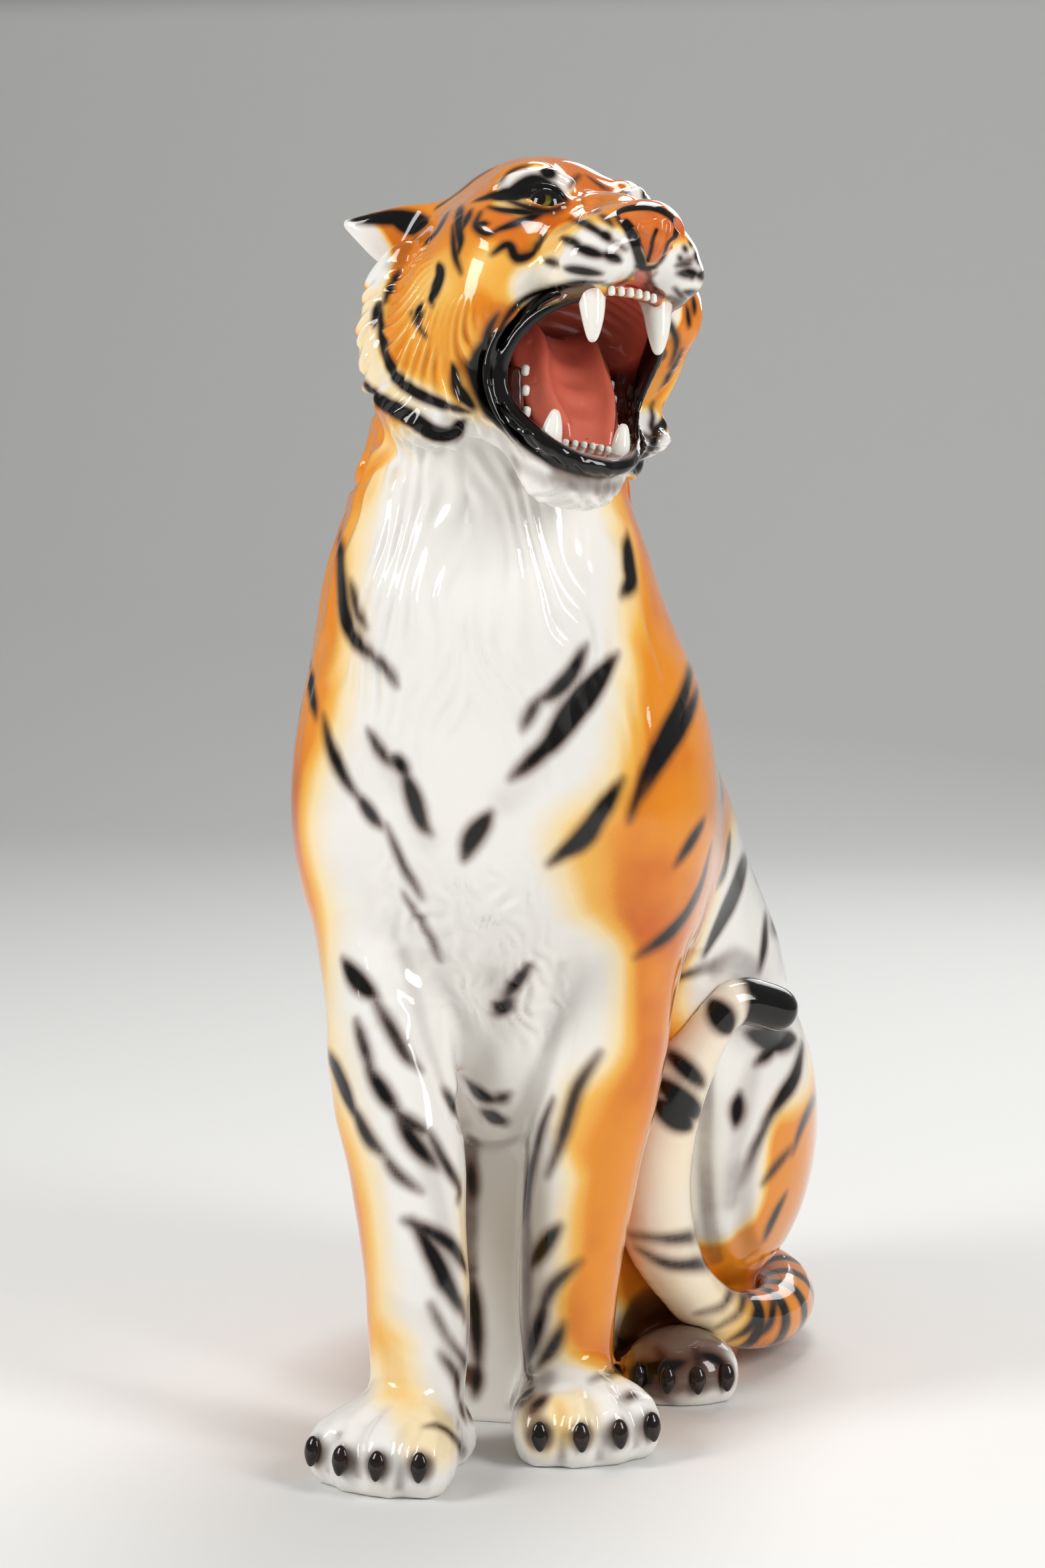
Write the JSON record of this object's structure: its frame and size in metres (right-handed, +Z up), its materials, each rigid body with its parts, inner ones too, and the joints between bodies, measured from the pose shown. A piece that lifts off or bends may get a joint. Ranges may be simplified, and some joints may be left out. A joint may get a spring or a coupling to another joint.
{
  "type": "ceramic tiger statue",
  "caption": "Sitting ceramic tiger with its head turned to its left, jaw wide open, tail curled along its flank and glossy sprayed stripes, standing on its own flat base.",
  "frame": {"origin": "on the floor under the belly, in the middle of the width of the seated body", "axes": "+Z up, -Y the way the chest faces, +X towards the tiger's left side"},
  "size_m": [0.3288, 0.5341, 0.8467],
  "materials": {
    "striped_glaze": "gloss",
    "mouth_glaze": "gloss",
    "tooth_glaze": "gloss",
    "eye_glaze": "gloss",
    "nose_glaze": "gloss",
    "claw_glaze": "gloss"
  },
  "bodies": {
    "root": {"torso_shell": "striped_glaze", "left_foreleg": "striped_glaze", "right_foreleg": "striped_glaze", "leg_web": "striped_glaze", "left_haunch": "striped_glaze", "right_haunch": "striped_glaze", "left_hind_paw": "striped_glaze", "right_hind_paw": "striped_glaze", "tail": "striped_glaze", "head_shell": "striped_glaze", "left_ear": "striped_glaze", "right_ear": "striped_glaze", "mouth_lining": "mouth_glaze", "tongue": "mouth_glaze", "upper_left_canine": "tooth_glaze", "upper_right_canine": "tooth_glaze", "lower_left_canine": "tooth_glaze", "lower_right_canine": "tooth_glaze", "upper_incisors": "tooth_glaze", "lower_incisors": "tooth_glaze", "left_cheek_teeth": "tooth_glaze", "right_cheek_teeth": "tooth_glaze", "left_eye": "eye_glaze", "right_eye": "eye_glaze", "nose_pad": "nose_glaze", "left_fore_claws": "claw_glaze", "right_fore_claws": "claw_glaze", "left_hind_claws": "claw_glaze", "right_hind_claws": "claw_glaze"}
  },
  "joints": []
}
